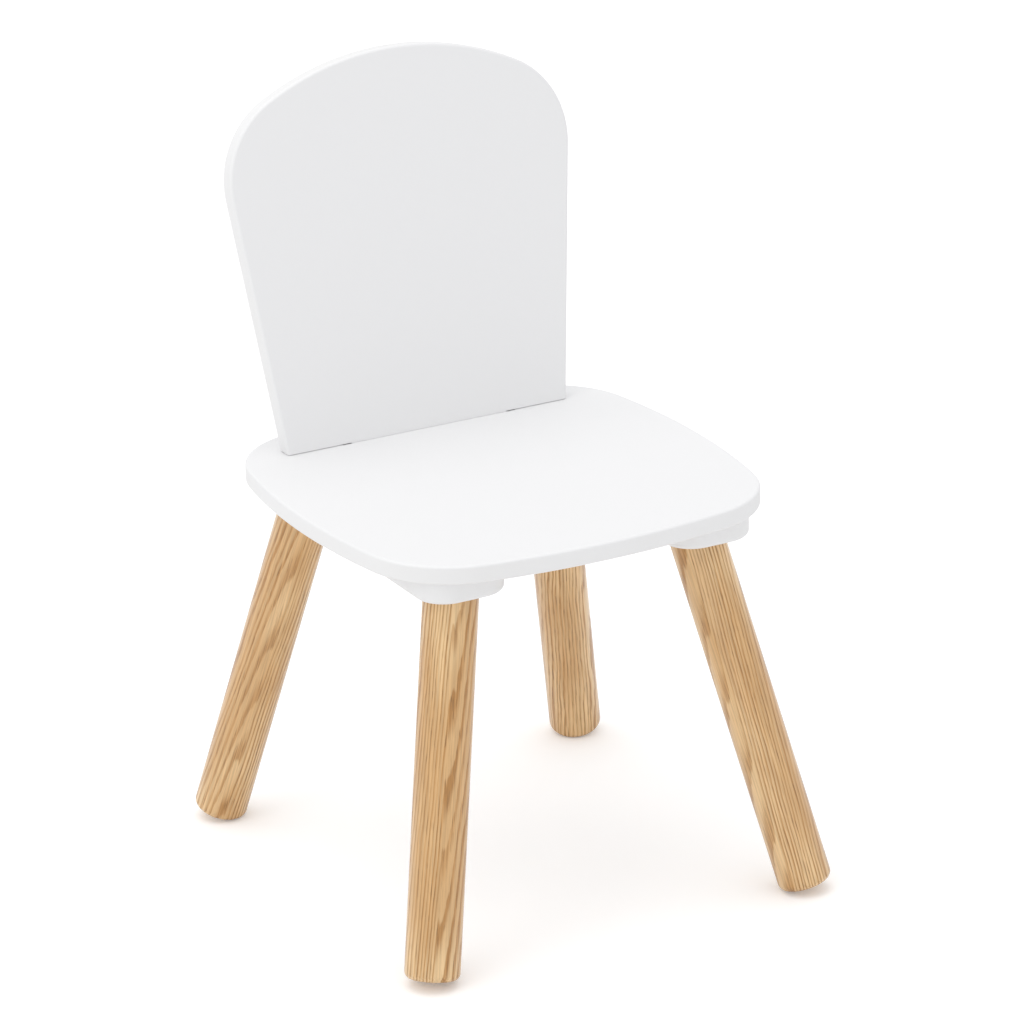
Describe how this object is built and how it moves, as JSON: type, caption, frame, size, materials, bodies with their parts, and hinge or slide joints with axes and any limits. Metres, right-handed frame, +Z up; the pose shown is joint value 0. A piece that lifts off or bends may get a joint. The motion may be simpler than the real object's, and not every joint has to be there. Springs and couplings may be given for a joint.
{
  "type": "kids chair",
  "caption": "Small child's chair with a rounded-square painted seat board, a leaning arched backrest board plugged through it, and splayed round wooden legs",
  "frame": {"origin": "on the floor, under the middle of the seat", "axes": "+Z up, -Y the way the sitter faces, +X to the right of someone who looks at the chair from the front"},
  "size_m": [0.3042, 0.3322, 0.5119],
  "materials": {
    "white_paint": "white satin paint on MDF board",
    "ash_wood": "turned ash under a clear satin lacquer",
    "beech_wood": "bare planed beech",
    "zinc_steel": "bright zinc plate"
  },
  "bodies": {
    "root": {"seat_panel": "white_paint", "backrest_panel": "white_paint", "leg_rail_left": "white_paint", "leg_rail_right": "white_paint", "back_cleat": "beech_wood", "leg_front_left": "ash_wood", "hanger_bolt_front_left": "zinc_steel", "leg_insert_front_left": "zinc_steel", "rail_screw_front_left_1": "zinc_steel", "rail_screw_front_left_2": "zinc_steel", "rail_screw_front_left_3": "zinc_steel", "leg_front_right": "ash_wood", "hanger_bolt_front_right": "zinc_steel", "leg_insert_front_right": "zinc_steel", "rail_screw_front_right_1": "zinc_steel", "rail_screw_front_right_2": "zinc_steel", "rail_screw_front_right_3": "zinc_steel", "leg_rear_left": "ash_wood", "hanger_bolt_rear_left": "zinc_steel", "leg_insert_rear_left": "zinc_steel", "rail_screw_rear_left_1": "zinc_steel", "rail_screw_rear_left_2": "zinc_steel", "rail_screw_rear_left_3": "zinc_steel", "leg_rear_right": "ash_wood", "hanger_bolt_rear_right": "zinc_steel", "leg_insert_rear_right": "zinc_steel", "rail_screw_rear_right_1": "zinc_steel", "rail_screw_rear_right_2": "zinc_steel", "rail_screw_rear_right_3": "zinc_steel", "cleat_screw_left": "zinc_steel", "cleat_screw_middle": "zinc_steel", "cleat_screw_right": "zinc_steel", "back_bolt_left": "zinc_steel", "back_bolt_right": "zinc_steel", "back_insert_left": "zinc_steel", "back_insert_right": "zinc_steel"}
  },
  "joints": []
}
